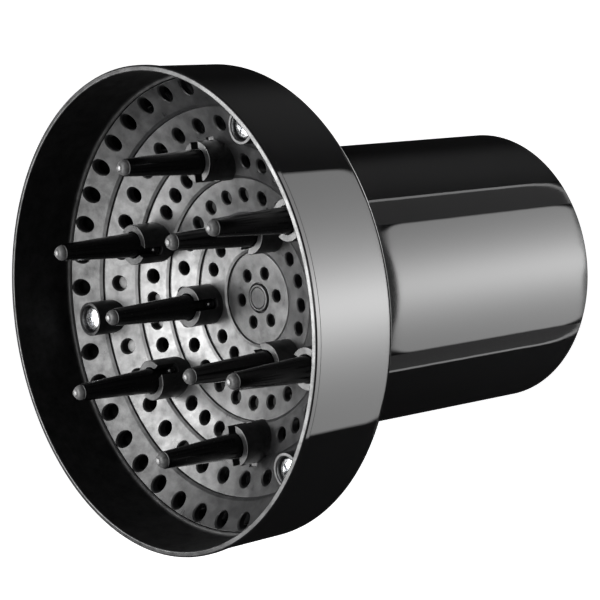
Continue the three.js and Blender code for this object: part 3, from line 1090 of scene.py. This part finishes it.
def softbox_front(light, rim, fade):
    """The light's own nodes: a glow that falls off from the middle, inside a rounded outline."""
    light.use_nodes = True
    tree = light.node_tree
    corner = max(fade, SOFTBOX_CORNER)

    def vector(operation, source, value=(0, 0, 0), output="Vector"):
        node = tree.nodes.new("ShaderNodeVectorMath")
        node.operation = operation
        node.inputs[1].default_value = value
        tree.links.new(source, node.inputs[0])
        return node.outputs[output]

    def ranged(source, start, end, low, high):
        node = tree.nodes.new("ShaderNodeMapRange")
        node.interpolation_type = "SMOOTHSTEP"
        limits = {"From Min": start, "From Max": end, "To Min": low, "To Max": high}
        for key, value in limits.items():
            node.inputs[key].default_value = value
        tree.links.new(source, node.inputs["Value"])
        return node.outputs["Result"]

    spot = tree.nodes.new("ShaderNodeNewGeometry").outputs["Parametric"]
    spot = vector("SUBTRACT", spot, (0.5, 0.5, 0))
    spot = vector("ABSOLUTE", vector("MULTIPLY", spot, (2, 2, 0)))
    glow = ranged(vector("LENGTH", spot, output="Value"), 0.0, SOFTBOX_REACH, 1.0, rim)
    beyond = vector("MAXIMUM", vector("SUBTRACT", spot, (1 - corner, 1 - corner, 0)))
    edge = ranged(vector("LENGTH", beyond, output="Value"), corner - fade, corner, 1.0, 0.0)
    strength = tree.nodes.new("ShaderNodeMath")
    strength.operation = "MULTIPLY"
    tree.links.new(glow, strength.inputs[0])
    tree.links.new(edge, strength.inputs[1])
    tree.links.new(strength.outputs[0], tree.nodes["Emission"].inputs["Strength"])


def wrapped_panel(name, radius, bottom, top, near, far, corner, strength):
    """A sheet of light that wraps round the object's right, so that round walls mirror it straight.

    It lies on a cylinder of that radius round the common axis, between two angles in degrees from
    the level and two places along the axis. `strength` gives its glow from the angle, and from how
    far inside the sheet's rounded outline a spot is."""
    rows, columns = PANEL_GRID
    angle, along = np.meshgrid(np.linspace(bottom, top, rows), np.linspace(near, far, columns))
    angle, along = angle.ravel(), along.ravel()
    turn = np.radians(angle)
    spots = np.stack([radius * np.cos(turn), along, radius * np.sin(turn)], axis=1)
    middle, half_turn = math.radians(top + bottom) / 2, math.radians(top - bottom) / 2
    over = (np.abs(turn - middle) - half_turn) * PANEL_SQUEEZE
    beyond = np.abs(along - (near + far) / 2) - (far - near) / 2
    outwards = np.hypot(np.maximum(over + corner, 0), np.maximum(beyond + corner, 0))
    inside = corner - outwards + np.maximum(-np.maximum(over, beyond) - corner, 0)
    grid = np.arange(rows * columns).reshape(columns, rows)
    quads = np.stack([grid[:-1, :-1], grid[:-1, 1:], grid[1:, 1:], grid[1:, :-1]], axis=-1)

    mesh = bpy.data.meshes.new(name)
    mesh.from_pydata(spots.tolist(), [], quads.reshape(-1, 4).tolist())
    layer = mesh.attributes.new("glow", "FLOAT", "POINT")
    layer.data.foreach_set("value", np.where(inside > 0, strength(angle, inside), 0.0))
    material = bpy.data.materials.new(name)
    material.use_nodes = True
    nodes = material.node_tree.nodes
    nodes.clear()
    glow = nodes.new("ShaderNodeAttribute")
    glow.attribute_name = "glow"
    light = nodes.new("ShaderNodeEmission")
    output = nodes.new("ShaderNodeOutputMaterial")
    material.node_tree.links.new(glow.outputs["Fac"], light.inputs["Strength"])
    material.node_tree.links.new(light.outputs["Emission"], output.inputs["Surface"])
    mesh.materials.append(material)
    sheet = bpy.data.objects.new(name, mesh)
    bpy.context.scene.collection.objects.link(sheet)
    sheet.visible_camera = False
    sheet.visible_shadow = False


def panel_glow(centre, spread, peak):
    """A glow that peaks at one angle, with soft tails and a soft outline."""
    def strength(angle, inside):
        glow = PANEL_BASE + peak / (1 + ((angle - centre) / spread) ** 2)
        return glow * np.clip(inside / PANEL_FADE, 0, 1)
    return strength


def frame_glow(_angle, inside):
    """The dim cloth round the panel, and the brighter edge of its frame."""
    return np.where(inside < FRAME_EDGE, FRAME_GLOW, CLOTH_GLOW)


def photo_camera():
    azimuth, elevation = math.radians(48.2), math.radians(9.3)
    distance = 0.6133
    target = Vector((0.0299, -0.1155, 0.0040))
    back = Vector((
        math.sin(azimuth) * math.cos(elevation),
        -math.cos(azimuth) * math.cos(elevation),
        math.sin(elevation),
    ))
    camera = bpy.data.objects.new("camera", bpy.data.cameras.new("camera"))
    camera.data.lens = 121.2
    camera.data.sensor_width = 36
    camera.location = target + back * distance
    camera.rotation_euler = (-back).to_track_quat("-Z", "Y").to_euler()
    bpy.context.scene.collection.objects.link(camera)
    bpy.context.scene.camera = camera


def studio_world():
    world = bpy.data.worlds.new("studio")
    world.use_nodes = True
    world.node_tree.nodes["Background"].inputs["Color"].default_value = (0.006, 0.006, 0.006, 1)
    bpy.context.scene.world = world


studio_sweep()
studio_world()
photo_camera()
wrapped_panel(
    "skirt_panel", 0.45, bottom=-54, top=66, near=0.15, far=0.257, corner=0.018,
    strength=panel_glow(centre=4, spread=21, peak=10.8),
)
wrapped_panel(
    "collar_panel", 0.45, bottom=-49, top=55, near=0.297, far=0.470, corner=0.022,
    strength=panel_glow(centre=5, spread=26, peak=7.8),
)
wrapped_panel(
    "collar_frame", 0.46, bottom=-65, top=78, near=0.276, far=0.484, corner=0.035,
    strength=frame_glow,
)
softbox("front_panel", (-0.12, -1.0, 0.02), (0, -0.11, 0), 1.3, 1.6, 66, rim=0.25, fade=0.3)
softbox("front_lamp", (-0.45, -0.86, -0.02), (0, -0.11, 0), 0.65, 0.8, 40, rim=0.1, fade=0.5)
softbox("top_panel", (-0.2, 0.7, 1.0), (0, -0.08, 0), 1.6, 1.6, 1.0, rim=0.1, fade=0.8)
softbox("back_panel", (-0.35, 1.1, 0.05), (0, -0.05, 0), 0.9, 0.9, 12, rim=0.2, fade=0.6)
softbox("right_side_panel", (1.2, -0.05, 0.25), (0, -0.07, 0), 0.7, 0.7, 8, rim=0.2, fade=0.6)
softbox("left_side_panel", (-1.2, 0.1, 0.25), (0, -0.07, 0), 0.7, 0.7, 4, rim=0.2, fade=0.6)
bpy.context.scene.view_settings.view_transform = "Standard"
